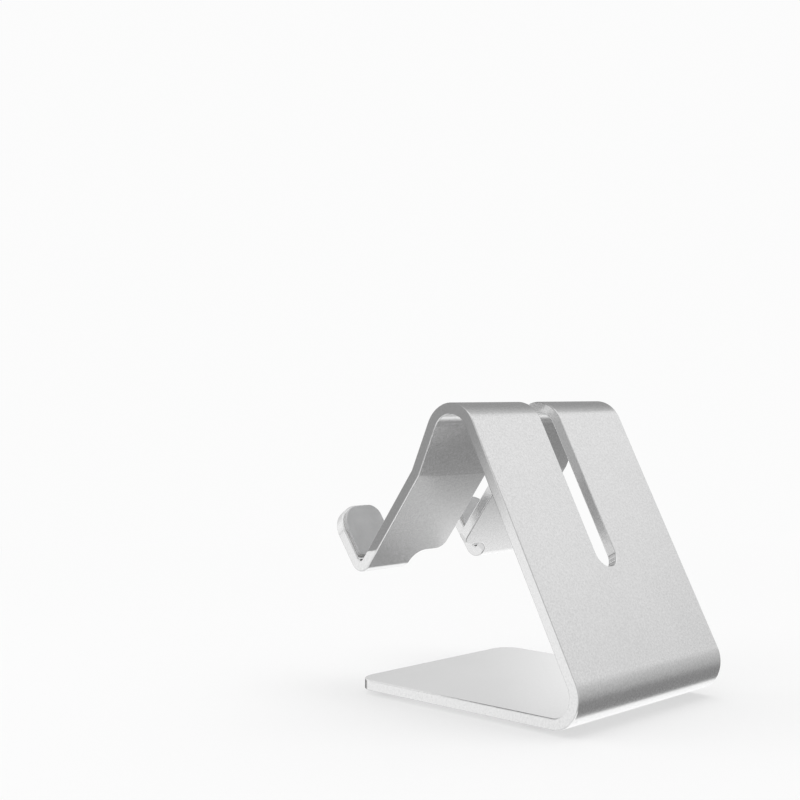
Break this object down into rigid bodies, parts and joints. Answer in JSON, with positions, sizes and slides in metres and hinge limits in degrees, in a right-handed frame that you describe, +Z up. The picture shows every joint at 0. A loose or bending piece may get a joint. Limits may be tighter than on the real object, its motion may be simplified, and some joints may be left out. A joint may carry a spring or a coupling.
{
  "type": "phone stand",
  "caption": "Desk stand folded from an aluminium strip: flat base, leaning back panel, rounded crown, hooks that hold a phone and a cable slot, with silicone pads and rubber feet.",
  "frame": {"origin": "on the surface the stand rests on, under the middle of its bounding box", "axes": "+Z up; +Y towards the back of the stand, where the cable leaves; -Y towards the user; +X to the user's right. Mirror symmetric about X = 0"},
  "size_m": [0.063, 0.089, 0.0803],
  "materials": {
    "aluminium": "fine bead-blasted silver anodised aluminium",
    "silicone": "matt light grey silicone",
    "rubber": "matt black rubber",
    "adhesive": "translucent self-adhesive film"
  },
  "bodies": {
    "root": {"stand_body": "aluminium", "hook_pad_left": "silicone", "hook_pad_film_left": "adhesive", "rest_pad_left": "silicone", "rest_pad_film_left": "adhesive", "foot_front_left": "rubber", "foot_film_front_left": "adhesive", "foot_rear_left": "rubber", "foot_film_rear_left": "adhesive", "hook_pad_right": "silicone", "hook_pad_film_right": "adhesive", "rest_pad_right": "silicone", "rest_pad_film_right": "adhesive", "foot_front_right": "rubber", "foot_film_front_right": "adhesive", "foot_rear_right": "rubber", "foot_film_rear_right": "adhesive"}
  },
  "joints": []
}
